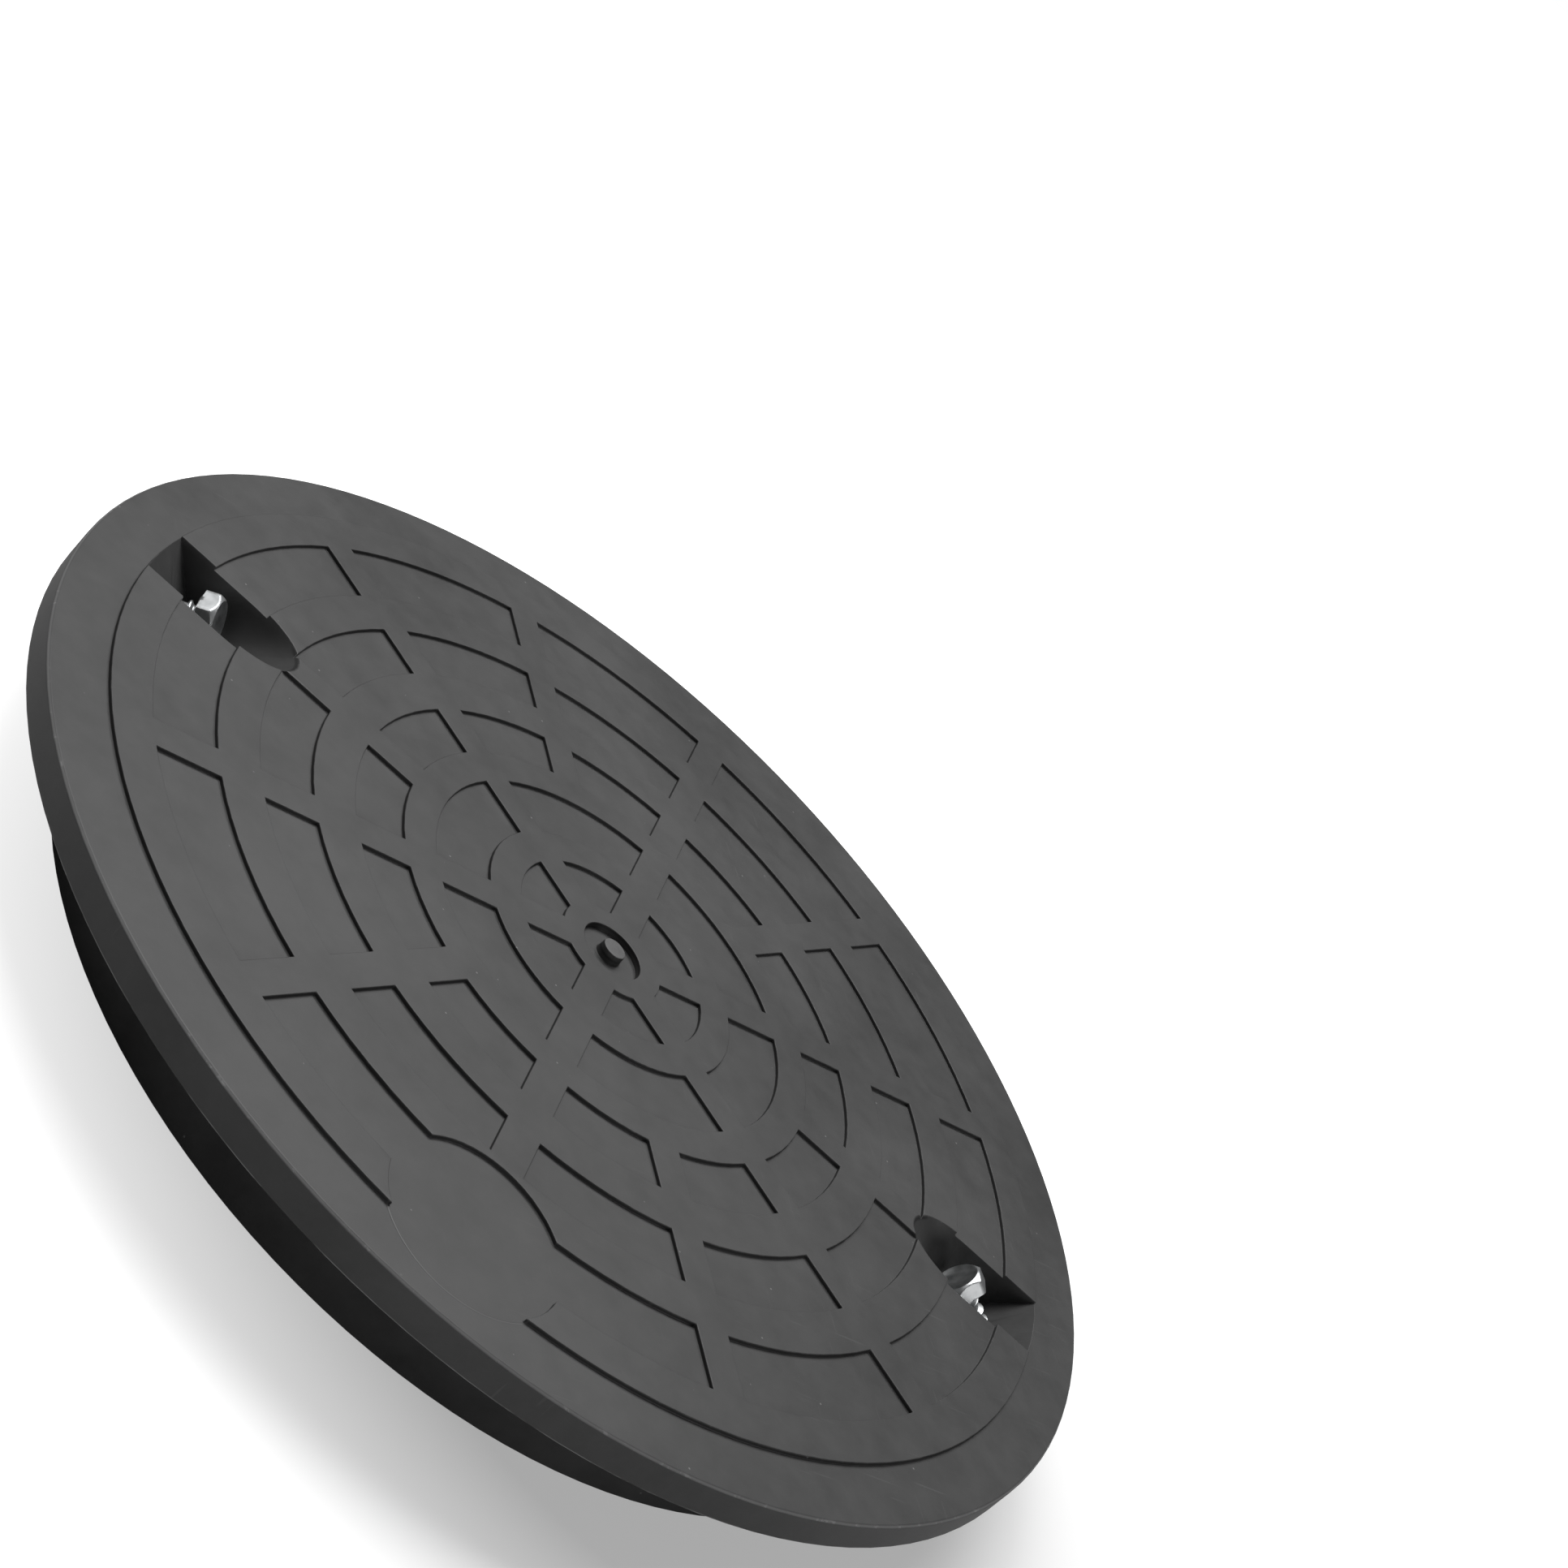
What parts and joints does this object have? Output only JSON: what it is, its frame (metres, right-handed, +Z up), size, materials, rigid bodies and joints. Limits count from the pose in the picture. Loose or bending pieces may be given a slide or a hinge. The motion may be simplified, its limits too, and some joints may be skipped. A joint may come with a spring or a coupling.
{
  "type": "manhole cover",
  "caption": "Round plastic manhole cover with a ring-and-ray tread, a ribbed spigot skirt and angled hexagon head locking screws in scooped pockets.",
  "frame": {"origin": "centre of the skirt's bottom rim, on the cover's axis", "axes": "+Z up through the tread; the screw pockets lie on +X and -X; the label place is towards -Y"},
  "size_m": [0.44, 0.44, 0.0513],
  "materials": {
    "moulding": "dark grey moulded plastic, satin, with fine scuffs",
    "zinc": "bright zinc-plated steel"
  },
  "bodies": {
    "cover": {"cover": "moulding"},
    "screw_left": {"screw_left": "zinc"},
    "screw_right": {"screw_right": "zinc"}
  },
  "joints": [
    {"name": "left_screw_slide", "type": "slide", "parent": "cover", "child": "screw_left", "axis": [-0.891, 0, -0.454], "range_m": [-0.0175, 0.007]},
    {"name": "right_screw_slide", "type": "slide", "parent": "cover", "child": "screw_right", "axis": [0.891, 0, -0.454], "range_m": [-0.0145, 0.011]}
  ]
}
